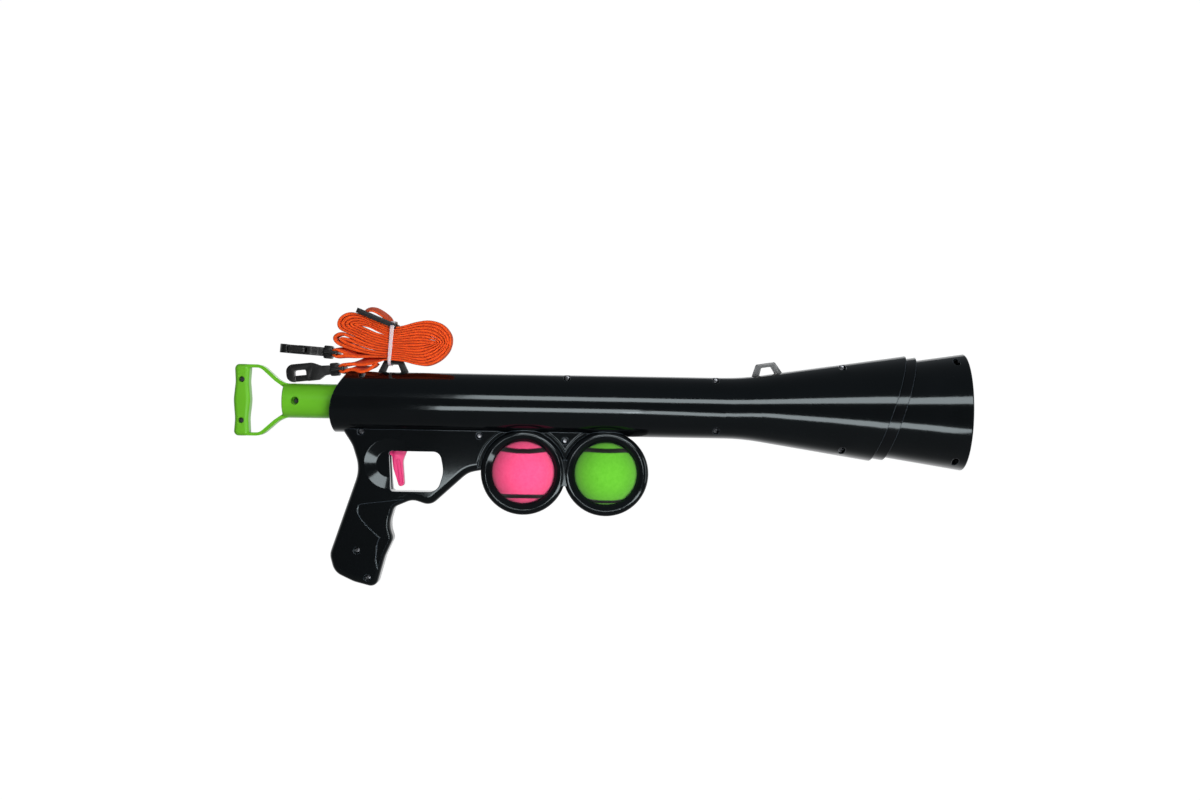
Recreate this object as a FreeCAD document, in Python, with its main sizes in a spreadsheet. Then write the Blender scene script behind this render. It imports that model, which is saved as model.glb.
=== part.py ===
import FreeCAD, Part
import math
import os
import Sketcher

# Automatic dog ball launcher, in millimetres. +X runs along the barrel to the muzzle, +Z is up, the
# launcher's right side faces -Y, and the origin is the centre of the muzzle's mouth. Everything at
# the back is placed from the barrel's rear end, everything at the front from the mouth.

V = FreeCAD.Vector
doc = FreeCAD.newDocument("ball_launcher")

SIZES = {
    # barrel and cone, turned about X
    "barrel_length": 600.0,
    "barrel_radius": 29.3,
    "wall": 2.5,
    "rear_wall": 22.0,
    "rear_lean": 14.0,
    "rear_bulge": 10.0,
    "rear_round": 60.0,
    "cone_length": 55.0,
    "cone_radius": 53.5,
    "cone_slope": 0.155,
    "cone_lean": 0.322,
    "cone_end": 73.4,
    "flare_round": 220.0,
    "rib": 2.2,
    "rib_bore": 20.5,
    # muzzle band and collar, nested in the cone
    "nest_fit": 0.3,
    "band_wall": 2.8,
    "band_back": 106.0,
    "band_end": 62.2,
    "band_lean": 0.3,
    "collar_wall": 3.0,
    "collar_back": 98.0,
    "mouth_radius": 51.5,
    "mouth_depth": 5.0,
    # grabber that keeps a ball in the throat
    "grabber_front": 146.0,
    "grabber_length": 12.0,
    "grabber_wall": 2.0,
    "finger_width": 7.0,
    "finger_thick": 3.0,
    "finger_bore": 30.5,
    # web, guard and grip
    "web_half": 14.0,
    "web_round": 7.0,
    "guard_length": 53.0,
    "guard_height": 38.4,
    "guard_round": 11.0,
    "guard_drop": 17.0,
    "guard_back": 52.5,
    "scoop_radius": 24.0,
    "scoop_floor": 13.0,
    "scoop_depth": 3.5,
    "mech_half": 8.0,
    "grip_half": 11.0,
    "patch_depth": 1.2,
    "mech_floor": 2.8,
    # rings for the spare balls
    "ring_back": 181.2,
    "ring_pitch": 78.5,
    "ring_drop": 64.3,
    "ring_radius": 40.6,
    "ring_half": 18.0,
    "ring_edge": 4.9,
    "ring_lip": 3.0,
    "moat_width": 3.4,
    "moat_depth": 1.5,
    "ring_opening": 29.7,
    "ring_bridge": 12.5,
    "bridge_width": 10.0,
    "ball_radius": 32.2,
    "ball_play": 0.3,
    "felt": 2.6,
    "rubber": 3.3,
    # draw tube, plunger and launch spring
    "tube_radius": 16.5,
    "tube_wall": 2.2,
    "tube_front": 221.0,
    "tube_out": 41.0,
    "tube_play": 0.4,
    "bush_play": 0.1,
    "bush_length": 14.0,
    "bush_wall": 2.4,
    "bush_flange": 3.0,
    "rear_bush": 34.0,
    "front_bush": 262.0,
    "stroke": 150.0,
    "plug_fit": 0.1,
    "plug_length": 16.0,
    "head_flange": 3.0,
    "pad_length": 9.0,
    "pad_radius": 16.0,
    "pad_dish": 3.0,
    "anchor_back": 172.0,
    "anchor_pin": 2.5,
    "anchor_length": 14.0,
    "spigot_radius": 9.8,
    "spigot_length": 8.0,
    "spring_radius": 11.5,
    "spring_wire": 1.8,
    "spring_turns": 13.0,
    "slot_play": 0.6,
    # D handle
    "neck_length": 9.0,
    "handle_plug": 30.0,
    "bar_back": 97.0,
    "bar_width": 15.0,
    "bar_half": 34.3,
    "bar_waist": 1.1,
    "bar_depth": 8.5,
    "bar_round": 4.0,
    "arm_depth": 5.5,
    "arm_wall": 3.2,
    "shoulder": 25.0,
    "handle_screw_z": 19.6,
    "tube_hole": 3.85,
    "tube_screw": 37.1,
    # trigger and sear
    "trigger_back": 59.0,
    "trigger_drop": 37.0,
    "trigger_half": 4.5,
    "ridge_depth": 0.5,
    "slot_side": 0.5,
    "hinge_pin": 1.5,
    "hinge_play": 0.06,
    "pin_half": 10.5,
    "sear_ahead": 45.0,
    "sear_drop": 29.5,
    "sear_half": 4.0,
    "nose_width": 5.0,
    "nose_gap": 0.35,
    "catch_play": 1.0,
    "return_coil": 2.2,
    "return_wire": 0.6,
    "return_turns": 4.0,
    # fasteners
    "screw_radius": 1.5,
    "screw_head": 2.3,
    "head_height": 1.8,
    "screw_length": 12.0,
    "screw_seat": 6.0,
    "screw_play": 0.1,
    "recess": 3.2,
    "boss": 4.6,
    # strap loops
    "loop_bar": 4.0,
    "loop_depth": 4.0,
    "loop_play": 0.15,
    "loop_height": 10.8,
    "loop_base": 36.0,
    "loop_top": 18.0,
    "front_loop": 187.5,
    "rear_loop": 54.5,
    # strap, slider and tie
    "strap_width": 20.0,
    "strap_thick": 1.8,
    "soft_gap": 0.3,
    "tie_width": 5.0,
    "tie_thick": 1.0,
    "tie_side": 13.3,
    "tie_height": 48.3,
    "slider_length": 41.0,
    "slider_width": 26.0,
    "slider_thick": 4.8,
    "slider_slot": 7.0,
    "slider_lean": 22.1,
    # swivel snap hooks
    "hook_length": 42.6,
    "hook_half": 8.6,
    "hook_depth": 4.2,
    "shank_half": 4.8,
    "eye_top": 2.5,
    "eye_back": 35.0,
    "eye_front": 23.5,
    "gate_tip": 34.5,
    "gate_half": 2.9,
    "gate_pivot": 20.0,
    "gate_depth": 2.1,
    "gate_pin": 0.8,
    "post_radius": 2.2,
    "post_length": 8.0,
    "post_play": 0.08,
    "base_width": 27.0,
    "base_length": 14.4,
    "base_bar": 3.2,
    "base_slot": 3.2,
    "block_length": 8.0,
    "block_half": 6.2,
    "upper_lean": 4.0,
    "lower_lean": 6.4,
}

sheet = doc.addObject("Spreadsheet::Sheet", "Sizes")
for row, (alias, number) in enumerate(SIZES.items(), start=1):
    sheet.set("A%d" % row, alias)
    sheet.set("B%d" % row, str(number))
    sheet.setAlias("B%d" % row, alias)
doc.recompute()


class Length:
    """A number together with the sheet expression that gives it, so that what is worked out here
    stays bound to the sheet's cells."""

    def __init__(self, text, number):
        self.text = text
        self.number = number

    def join(self, sign, other, number):
        return Length("(%s %s %s)" % (self.text, sign, other.text), number)

    def __add__(self, other):
        other = length(other)
        return self.join("+", other, self.number + other.number)

    def __sub__(self, other):
        other = length(other)
        return self.join("-", other, self.number - other.number)

    def __mul__(self, other):
        other = length(other)
        return self.join("*", other, self.number * other.number)

    def __truediv__(self, other):
        other = length(other)
        return self.join("/", other, self.number / other.number)

    def __radd__(self, other):
        return length(other) + self

    def __rsub__(self, other):
        return length(other) - self

    def __rmul__(self, other):
        return length(other) * self

    def __neg__(self):
        return length(0) - self


def length(number):
    if isinstance(number, Length):
        return number
    return Length("(%r)" % float(number), float(number))


class Cells:
    """S.wall is the sheet's cell of that name."""

    def __getattr__(self, name):
        return Length("Sizes." + name, SIZES[name])


S = Cells()


def bind(thing, prop, amount):
    thing.setExpression(prop, length(amount).text)


# ---------------------------------------------------------------- sketches

def new_body(label):
    body = doc.addObject("PartDesign::Body", label)
    body.Label = label
    return body


def new_sketch(body, plane="XZ_Plane", normal=0, origin=(0, 0)):
    """A sketch on one of the body's own planes, moved along its normal and within the plane."""
    sketch = body.newObject("Sketcher::SketchObject", "sketch")
    base = [f for f in body.Origin.OriginFeatures if f.Role == plane][0]
    sketch.AttachmentSupport = [(base, "")]
    sketch.MapMode = "FlatFace"
    for axis, amount in zip("xyz", (origin[0], origin[1], normal)):
        bind(sketch, ".AttachmentOffset.Base." + axis, amount)
    return sketch


def constrain(sketch, kind, *where, amount):
    number = sketch.addConstraint(Sketcher.Constraint(kind, *where, length(amount).number))
    bind(sketch, "Constraints[%d]" % number, amount)


def place_point(sketch, geometry, end, x, y):
    constrain(sketch, "DistanceX", -1, 1, geometry, end, amount=x)
    constrain(sketch, "DistanceY", -1, 1, geometry, end, amount=y)


def add_circle(sketch, x, y, radius):
    centre = V(length(x).number, length(y).number, 0)
    number = sketch.addGeometry(Part.Circle(centre, V(0, 0, 1), length(radius).number), False)
    place_point(sketch, number, 3, x, y)
    constrain(sketch, "Radius", number, amount=radius)


def rounded_ends(before, at, after, radius):
    """Where the arc of that radius leaves and joins the two sides of a corner, and its middle."""
    back = (before - at).normalize()
    ahead = (after - at).normalize()
    half = back.getAngle(ahead) / 2
    reach = radius / math.tan(half)
    inward = (back + ahead).normalize()
    middle = at + inward * (radius / math.sin(half) - radius)
    return at + back * reach, middle, at + ahead * reach


def add_outline(sketch, corners):
    """A closed outline. Each corner is (x, y) or (x, y, radius of its rounding)."""
    corners = [tuple(length(part) for part in corner) for corner in corners]
    points = [V(corner[0].number, corner[1].number, 0) for corner in corners]
    count = len(corners)
    leave, join, arcs = list(points), list(points), {}
    for i, corner in enumerate(corners):
        if len(corner) == 3:
            join[i], middle, leave[i] = rounded_ends(
                points[i - 1], points[i], points[(i + 1) % count], corner[2].number)
            arcs[i] = sketch.addGeometry(Part.Arc(join[i], middle, leave[i]), False)
    lines = [sketch.addGeometry(Part.LineSegment(leave[i], join[(i + 1) % count]), False)
             for i in range(count)]
    for i, corner in enumerate(corners):
        before, after = lines[i - 1], lines[i]
        if i not in arcs:
            sketch.addConstraint(Sketcher.Constraint("Coincident", before, 2, after, 1))
            place_point(sketch, after, 1, corner[0], corner[1])
            continue
        start, end = ends_of_arc(sketch, arcs[i], join[i])
        sketch.addConstraint(Sketcher.Constraint("Tangent", before, 2, arcs[i], start))
        sketch.addConstraint(Sketcher.Constraint("Tangent", arcs[i], end, after, 1))
        constrain(sketch, "Radius", arcs[i], amount=corner[2])
        mark = sketch.addGeometry(Part.Point(points[i]), True)
        place_point(sketch, mark, 1, corner[0], corner[1])
        sketch.addConstraint(Sketcher.Constraint("PointOnObject", mark, 1, before))
        sketch.addConstraint(Sketcher.Constraint("PointOnObject", mark, 1, after))


def ends_of_arc(sketch, arc, first):
    """The numbers of the arc's end at first and of its other end."""
    start = sketch.getPoint(arc, 1)
    return (1, 2) if start.distanceToPoint(first) < 1e-6 else (2, 1)


def outline(body, corners, plane="XZ_Plane", normal=0, origin=(0, 0)):
    sketch = new_sketch(body, plane, normal, origin)
    add_outline(sketch, corners)
    return sketch


def circle(body, x, y, radius, plane="XZ_Plane", normal=0):
    sketch = new_sketch(body, plane, normal)
    add_circle(sketch, x, y, radius)
    return sketch


def box_corners(x_low, x_high, y_low, y_high):
    return [(x_low, y_low), (x_high, y_low), (x_high, y_high), (x_low, y_high)]


# ---------------------------------------------------------------- features

def straight(body, kind, sketch, amount, reverse=False, both=False):
    """A Pad or Pocket: amount deep, to one side of the sketch or half to each."""
    feature = body.newObject("PartDesign::" + kind, kind.lower())
    feature.Profile = sketch
    feature.SideType = "Symmetric" if both else "One side"
    feature.Refine = False
    feature.Reversed = reverse
    bind(feature, "Length", amount)
    doc.recompute()
    return feature


def pad(body, sketch, amount, reverse=False, both=False):
    return straight(body, "Pad", sketch, amount, reverse, both)


def pocket(body, sketch, amount, reverse=False, both=False):
    return straight(body, "Pocket", sketch, amount, reverse, both)


def turn(body, sketch, axis="H_Axis", kind="Revolution", angle=360, reverse=False):
    feature = body.newObject("PartDesign::" + kind, kind.lower())
    feature.Profile = sketch
    feature.ReferenceAxis = (sketch, [axis])
    feature.Angle = angle
    feature.Refine = False
    feature.Reversed = reverse
    doc.recompute()
    return feature


def soften(body, base, radius, wanted, kind="Fillet"):
    """Rounds (or chamfers) the edges of base for which wanted(edge) holds."""
    names = ["Edge%d" % (i + 1) for i, edge in enumerate(base.Shape.Edges) if wanted(edge)]
    feature = body.newObject("PartDesign::" + kind, kind.lower())
    feature.Base = (base, names)
    bind(feature, "Radius" if kind == "Fillet" else "Size", radius)
    doc.recompute()
    return feature


def coil(body, sketch, axis, height, turns):
    feature = body.newObject("PartDesign::AdditiveHelix", "coil")
    feature.Profile = sketch
    feature.ReferenceAxis = (sketch, [axis])
    feature.Mode = "height-turns-angle"
    bind(feature, "Height", height)
    bind(feature, "Turns", turns)
    doc.recompute()
    return feature


def primitive(kind, name, place, turned=None, **amounts):
    """A Part primitive with its sizes and its place bound to the sheet."""
    thing = doc.addObject("Part::" + kind, name)
    for prop, amount in amounts.items():
        bind(thing, prop, amount)
    if turned:
        thing.Placement.Rotation = FreeCAD.Rotation(*turned)
    for axis, amount in zip("xyz", place):
        bind(thing, ".Placement.Base." + axis, amount)
    return thing


ALONG_X = (V(0, 1, 0), 90)
ALONG_MINUS_Y = (V(1, 0, 0), 90)


def rod_y(name, x, z, radius, low, high):
    """A cylinder along Y from low to high."""
    return primitive("Cylinder", name, (x, high, z), ALONG_MINUS_Y,
                     Radius=radius, Height=length(high) - low)


def rod_x(name, x, radius, long, y=0, z=0):
    return primitive("Cylinder", name, (x, y, z), ALONG_X, Radius=radius, Height=long)


def ball(name, x, z, radius):
    return primitive("Sphere", name, (x, 0, z), Radius=radius)


def block(name, x, y, z, long, wide, high):
    return primitive("Box", name, (x, y, z), Length=long, Width=wide, Height=high)


def cut(label, base, tool):
    thing = doc.addObject("Part::Cut", label)
    thing.Label = label
    thing.Base = base
    thing.Tool = tool
    return thing


def fuse(label, shapes):
    thing = doc.addObject("Part::MultiFuse", label)
    thing.Label = label
    thing.Shapes = shapes
    return thing


def group(label, shapes):
    """Separate solids kept together in one object."""
    thing = doc.addObject("Part::Compound", label)
    thing.Label = label
    thing.Links = shapes
    return thing


def near(number, target, slack=0.01):
    return abs(number - target) < slack


# ---------------------------------------------------------------- shared places

REAR = -S.barrel_length
BORE = S.barrel_radius - S.wall
RING_X = [REAR + S.ring_back, REAR + S.ring_back + S.ring_pitch]
RING_Z = -S.ring_drop
GUARD_LEFT = REAR + S.guard_back
GUARD_RIGHT = GUARD_LEFT + S.guard_length
GUARD_TOP = -(S.barrel_radius + S.guard_drop)
GUARD_BOTTOM = GUARD_TOP - S.guard_height
TRIGGER = (REAR + S.trigger_back, -S.trigger_drop)
SEAR = (TRIGGER[0] + S.sear_ahead, -S.sear_drop)
MECH_FLOOR = GUARD_TOP + S.mech_floor
ANCHOR_X = REAR + S.anchor_back
TUBE_BORE = S.tube_radius - S.tube_wall
NOSE_X = SEAR[0] - 20.5
NEAR_SIDE, FAR_SIDE = False, True


def cone_at(x):
    """The cone's outer radius at x."""
    return S.cone_radius + S.cone_slope * (S.cone_length + x)


def flare_at(radius):
    """Where the cone's line has that radius."""
    return -S.cone_length - (S.cone_radius - radius) / S.cone_slope


# Places of the casing's screws, along X and Z, and how far each head's seat lies from the parting
# plane.
SCREWS = {
    "rear": (REAR + 26.3, length(25.5), S.screw_seat),
    "middle": (REAR + 221.2, length(26.0), S.screw_seat),
    "front": (REAR + 362.8, length(26.0), S.screw_seat),
    "front_low": (REAR + 363.7, -(S.tube_radius + 5.4), S.screw_seat),
    "web_rear": (REAR + 138.7, length(-30.5), S.screw_seat),
    "web_middle": (RING_X[0] + S.ring_pitch / 2, length(-34.0), S.screw_seat),
    "grip_top": (REAR + 25.8, length(-28.3), S.screw_seat),
    "grip": (REAR + 24.0, length(-141.6), S.screw_seat),
    "butt": (REAR + 34.5, length(-167.5), S.screw_seat),
    "cone_top": (length(-117.0), length(40.5), S.screw_seat * 1.5),
    "cone_low": (length(-117.0), -(S.ball_radius + 6.0), S.screw_seat * 1.5),
}
COLLAR_SCREWS = {
    "top": (length(-11.0), length(47.2), S.screw_seat),
    "low": (length(-11.0), length(-46.7), S.screw_seat),
}


# ---------------------------------------------------------------- casing

def grip_corners():
    """The outline of the web, guard and grip, clockwise from the barrel's rear underside."""
    last = RING_X[1]
    return [
        (REAR + 4, -12, 7.5),
        (last + 6, -12, 7.5),
        (last + 6, RING_Z + 9, 7.5),
        (RING_X[0] - 24, RING_Z + 4, 7.5),
        (RING_X[0] - 53, RING_Z - 1.5, 22),
        (GUARD_RIGHT - 12.5, GUARD_BOTTOM - 13.4, 12),
        (GUARD_LEFT + 23, GUARD_BOTTOM - 7.8, 14),
        (REAR + 58.6, -99.8, 6),
        (REAR + 53.7, -117, 25),
        (REAR + 58.3, -129.5, 7.5),
        (REAR + 50.5, -147, 30),
        (REAR + 42.5, -177.2, 7.5),
        (REAR + 21, -171.8, 30),
        (REAR + 2, -163, 16),
        (REAR - 2.7, -146, 14),
        (REAR + 24.6, -64, 35),
        (REAR + 17.2, -41, 30),
        (REAR + 6.5, -25, 7.5),
    ]


def patch_corners():
    """The outline of the grip's shallow recess, which runs out over the grip's front edge."""
    return [
        (REAR + 25, -97.5, 3),
        (REAR + 70, -92),
        (REAR + 70, -172),
        (REAR + 45.3, -167),
        (REAR + 42, -150, 20),
        (REAR + 43, -135, 8),
        (REAR + 45.5, -129.3),
        (REAR + 35, -120, 20),
        (REAR + 27.5, -111.8),
        (REAR + 23.7, -105, 8),
    ]


def add_moat(body, x, flip):
    """The shallow channel in the web's face round a ring."""
    side = 1 if flip else -1
    outer = S.ring_radius + S.moat_width
    face = S.web_half + 0.02
    sketch = outline(body, [
        (S.ring_radius - 2.6, (face + 1.5) * side),
        (outer + 2, (face + 1.5) * side),
        (outer + 2, face * side),
        (outer, face * side, 1.2),
        (outer, (S.web_half - S.moat_depth) * side),
        (S.ring_radius - 2.6, (S.web_half - S.moat_depth) * side),
    ], "XY_Plane", RING_Z, (x, 0))
    turn(body, sketch, "V_Axis", "Groove")


def add_ring(body, x, flip):
    """One ring for a spare ball: a disc with a rounded rim, a ridge and a lip that slopes inward."""
    low = S.ring_half if flip else -S.ring_half
    sign = 1 if flip else -1
    rim = S.ring_radius - S.ring_edge
    sketch = outline(body, [
        (0, 0),
        (S.ring_radius, 0),
        (S.ring_radius, low, S.ring_edge - 0.1),
        (rim, low),
        (S.ring_opening, low - sign * S.ring_lip),
        (0, low - sign * S.ring_lip),
    ], "XY_Plane", RING_Z, (x, 0))
    turn(body, sketch, "V_Axis")


def casing_outside(label, flip):
    """One half of the casing before it is hollowed."""
    body = new_body(label)
    web = pad(body, outline(body, grip_corners()), S.web_half, flip)
    face = S.web_half.number * (1 if flip else -1)
    soften(body, web, S.web_round, lambda e: all(near(v.Point.y, face) for v in e.Vertexes))
    guard = outline(body, [
        (GUARD_LEFT, GUARD_TOP, 3),
        (GUARD_RIGHT - 4, GUARD_TOP, 8),
        (GUARD_RIGHT, (GUARD_TOP + GUARD_BOTTOM) / 2, 25),
        (GUARD_RIGHT - 6, GUARD_BOTTOM, S.guard_round),
        (GUARD_LEFT + 2.5, GUARD_BOTTOM, 3),
    ])
    pocket(body, guard, S.web_half * 2, both=True)
    side = 1 if flip else -1
    scoop = outline(body, [
        (0, (S.web_half + S.scoop_depth) * side),
        (S.scoop_radius * 2 - S.scoop_floor, (S.web_half + S.scoop_depth) * side),
        (S.scoop_floor, (S.web_half - S.scoop_depth) * side),
        (0, (S.web_half - S.scoop_depth) * side),
    ], "XY_Plane", (GUARD_TOP + GUARD_BOTTOM) / 2 + 7, (GUARD_LEFT + 1, 0))
    turn(body, scoop, "V_Axis", "Groove")
    patch = outline(body, patch_corners(), "XZ_Plane", -(S.web_half + 1) * side)
    pocket(body, patch, S.patch_depth + 1, reverse=flip)
    for x in RING_X:
        add_moat(body, x, flip)
    for x in RING_X:
        add_ring(body, x, flip)
    middle = (RING_X[0] + RING_X[1]) / 2
    bridge = box_corners(middle - S.bridge_width / 2, middle + S.bridge_width / 2,
                         RING_Z - S.ring_bridge, RING_Z + S.ring_bridge)
    pad(body, outline(body, bridge), S.ring_half - 1, flip)
    nose = -S.cone_length + 10
    profile = outline(body, [
        (REAR - S.rear_bulge - 5, 0),
        (REAR - S.rear_bulge - 5, S.barrel_radius),
        (flare_at(S.barrel_radius), S.barrel_radius, S.flare_round),
        (nose, cone_at(nose)),
        (nose, 0),
    ])
    turn(body, profile, angle=180, reverse=flip)
    rear = outline(body, [
        (REAR + S.rear_lean + 2, S.barrel_radius + 6),
        (REAR - S.rear_bulge, -8, S.rear_round),
        (REAR + 3, -S.barrel_radius - 8),
        (REAR - 60, -S.barrel_radius - 8),
        (REAR - 60, S.barrel_radius + 6),
    ])
    pocket(body, rear, S.barrel_radius * 3, both=True)
    tall = S.cone_radius + 12
    front = outline(body, [
        (-S.cone_end + S.cone_lean * tall, tall),
        (-S.cone_end - S.cone_lean * tall, -tall),
        (60, -tall),
        (60, tall),
    ])
    pocket(body, front, tall * 2, both=True)
    return body


def casing_hollow():
    """The casing's inside: what the walls, ribs and screw bosses leave free."""
    body = new_body("casing_hollow")
    nose = length(-20)
    profile = outline(body, [
        (REAR + S.rear_wall, 0),
        (REAR + S.rear_wall, BORE),
        (flare_at(S.barrel_radius), BORE, S.flare_round),
        (nose, cone_at(nose) - S.wall),
        (nose, 0),
    ])
    turn(body, profile)
    duct = [
        (REAR + 17, -22),
        (REAR + 25.5, -42),
        (REAR + 28.5, -62, 20),
        (REAR + 22, -92),
        (GUARD_LEFT - 5, -92),
        (GUARD_LEFT - 4, MECH_FLOOR),
        (SEAR[0] + 9, MECH_FLOOR),
        (SEAR[0] + 9, -22),
    ]
    pad(body, outline(body, duct), S.mech_half * 2, both=True)
    grip = [
        (REAR + 22, -86, 2),
        (REAR + 1.5, -147, 10),
        (REAR + 5, -158, 10),
        (REAR + 38.5, -170, 5),
        (REAR + 46.5, -145, 10),
        (REAR + 49, -125, 5),
        (REAR + 47.5, -86, 2),
    ]
    pad(body, outline(body, grip), S.grip_half * 2, both=True)
    slot = [
        (TRIGGER[0] - 13.5, MECH_FLOOR + 1),
        (TRIGGER[0] + 15, MECH_FLOOR + 1),
        (TRIGGER[0] + 15, GUARD_TOP - 3),
        (GUARD_LEFT + 4, GUARD_TOP - 3),
        (GUARD_LEFT + 4, GUARD_BOTTOM + 1.5),
        (TRIGGER[0] - 13.5, GUARD_BOTTOM + 1.5),
    ]
    pad(body, outline(body, slot), (S.trigger_half + S.slot_side) * 2, both=True)
    ribs = new_sketch(body)
    for x in rib_places():
        add_outline(ribs, box_corners(x - S.rib / 2, x + S.rib / 2,
                                      S.rib_bore, S.barrel_radius + 1))
    turn(body, ribs, kind="Groove")
    bosses = new_sketch(body)
    for x, z, seat in SCREWS.values():
        add_circle(bosses, x, z, S.boss)
    pocket(body, bosses, S.cone_radius * 2, both=True)
    return body


def rib_places():
    """Two ribs hold each bush by its flange, and the others stiffen the barrel."""
    hold = (S.bush_flange + S.rib) / 2 + S.bush_play
    for x in (REAR + S.rear_bush, -S.front_bush):
        yield x - hold
        yield x + hold
    yield REAR + 130.0
    yield REAR + 196.0
    yield (ANCHOR_X - S.front_bush) / 2


def screw_tools(name, screws, hole, recess):
    """What every screw needs: its hole through both halves and its head's recess in the near one."""
    holes, recesses = [], []
    for key, (x, z, seat) in screws.items():
        holes.append(rod_y("%s_%s_hole" % (name, key), x, z, hole,
                           -seat - 1, S.screw_length - seat + 1))
        recesses.append(rod_y("%s_%s_recess" % (name, key), x, z, recess, -80, -seat))
    return holes, recesses


def casing_tools():
    """Round and square openings that both halves of the casing share."""
    tools = []
    for number, x in enumerate(RING_X):
        tools.append(ball("ring_room_%d" % number, x, RING_Z, S.ball_radius + S.ball_play))
        tools.append(rod_y("ring_way_%d" % number, x, RING_Z, S.ring_opening,
                           -S.ring_half * 2, S.ring_half * 2))
    tools.append(rod_x("tube_way", REAR - 40, S.tube_radius + S.tube_play, length(120)))
    reach = S.barrel_radius - 0.9
    tools.append(rod_y("anchor_seat", ANCHOR_X, 0, S.anchor_pin + S.hinge_play, -reach, reach))
    for name, (x, z) in (("trigger", TRIGGER), ("sear", SEAR)):
        tools.append(rod_y(name + "_pin_seat", x, z, S.hinge_pin + S.hinge_play,
                           -S.pin_half - 0.1, S.pin_half + 0.1))
    tools.append(strap_loop("rear_loop_seat", REAR + S.rear_loop, S.barrel_radius, False, True))
    tools.append(front_loop("front_loop_seat", True))
    return tools


def casing():
    hollow = casing_hollow()
    shared = casing_tools()
    holes, recesses = screw_tools("casing", SCREWS, S.screw_radius + S.screw_play, S.recess)
    for label, flip, extra in (("right_shell", NEAR_SIDE, recesses), ("left_shell", FAR_SIDE, [])):
        outside = casing_outside(label + "_outside", flip)
        walls = cut(label + "_walls", outside, hollow)
        cut(label, walls, group(label + "_openings", shared + holes + extra))


def screw(name, x, z, seat):
    """One pan-head screw, its head towards -Y."""
    shank = rod_y(name + "_shank", x, z, S.screw_radius, -seat, S.screw_length - seat)
    head = rod_y(name + "_head", x, z, S.screw_head, -seat - S.head_height, -seat)
    return fuse(name, [shank, head])


def screws(label, places):
    return group(label, [screw("%s_%s" % (label, key), *place) for key, place in places.items()])


# ---------------------------------------------------------------- muzzle

def band_outside(x):
    return cone_at(x) - S.wall - S.nest_fit


def collar_outside(x):
    return band_outside(x) - S.band_wall - S.nest_fit


def muzzle_band():
    """A ring between the casing and the collar, its front cut on the slant."""
    body = new_body("muzzle_band")
    back, front = -S.band_back, length(-20)
    profile = outline(body, [
        (back, band_outside(back) - S.band_wall),
        (back, band_outside(back)),
        (front, band_outside(front)),
        (front, band_outside(front) - S.band_wall),
    ])
    turn(body, profile)
    tall = S.cone_radius + 12
    end = outline(body, [
        (-S.band_end + S.band_lean * tall, tall),
        (-S.band_end - S.band_lean * tall, -tall),
        (40, -tall),
        (40, tall),
    ])
    pocket(body, end, tall * 2, both=True)


def collar_room():
    """The collar's inside, less the bosses of its screws."""
    body = new_body("collar_room")
    back = -S.collar_back - 1
    step = -S.mouth_depth
    profile = outline(body, [
        (back, 0),
        (back, collar_outside(back) - S.collar_wall),
        (step, collar_outside(step) - S.collar_wall),
        (step, S.mouth_radius),
        (2, S.mouth_radius),
        (2, 0),
    ])
    turn(body, profile)
    bosses = new_sketch(body)
    for x, z, seat in COLLAR_SCREWS.values():
        add_circle(bosses, x, z, S.boss)
    pocket(body, bosses, S.cone_radius * 2, both=True)
    return body


def muzzle_collar():
    room = collar_room()
    holes, recesses = screw_tools("collar", COLLAR_SCREWS, S.screw_radius + S.screw_play, S.recess)
    for label, flip, extra in (("muzzle_collar_right", NEAR_SIDE, recesses),
                               ("muzzle_collar_left", FAR_SIDE, [])):
        body = new_body(label + "_outside")
        back = -S.collar_back
        profile = outline(body, [
            (back, 0),
            (back, collar_outside(back)),
            (0, collar_outside(length(0)), 1.2),
            (0, 0),
        ])
        turn(body, profile, angle=180, reverse=flip)
        walls = cut(label + "_walls", body, room)
        cut(label, walls, group(label + "_openings", holes + extra))


def ball_grabber():
    """A rubber ring in the throat with fingers that a ball pushes past."""
    body = new_body("ball_grabber")
    front = -S.grabber_front
    back = front - S.grabber_length

    def outside(x):
        return cone_at(x) - S.wall - S.soft_gap
    profile = outline(body, [
        (back, outside(back) - S.grabber_wall),
        (back, outside(back)),
        (front, outside(front)),
        (front, outside(front) - S.grabber_wall),
    ])
    turn(body, profile)
    finger = outline(body, box_corners(-S.finger_width / 2, S.finger_width / 2, S.finger_bore,
                                       outside(front) - S.grabber_wall / 2),
                     "YZ_Plane", front - S.finger_thick)
    first = pad(body, finger, S.finger_thick)
    ring = body.newObject("PartDesign::PolarPattern", "fingers")
    ring.Originals = [first]
    ring.Axis = ([f for f in body.Origin.OriginFeatures if f.Role == "X_Axis"][0], [""])
    ring.Angle = 360
    ring.Occurrences = 8
    body.Tip = ring


# ---------------------------------------------------------------- plunger

def bush(label, x, end):
    """A sleeve that the draw tube slides in, held by its flange."""
    body = new_body(label)
    bore = S.tube_radius + S.bush_play
    profile = outline(body, [
        (end, bore),
        (end + S.bush_length, bore),
        (end + S.bush_length, bore + S.bush_wall),
        (x + S.bush_flange / 2, bore + S.bush_wall),
        (x + S.bush_flange / 2, BORE - S.bush_play),
        (x - S.bush_flange / 2, BORE - S.bush_play),
        (x - S.bush_flange / 2, bore + S.bush_wall),
        (end, bore + S.bush_wall),
    ])
    turn(body, profile)


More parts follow.
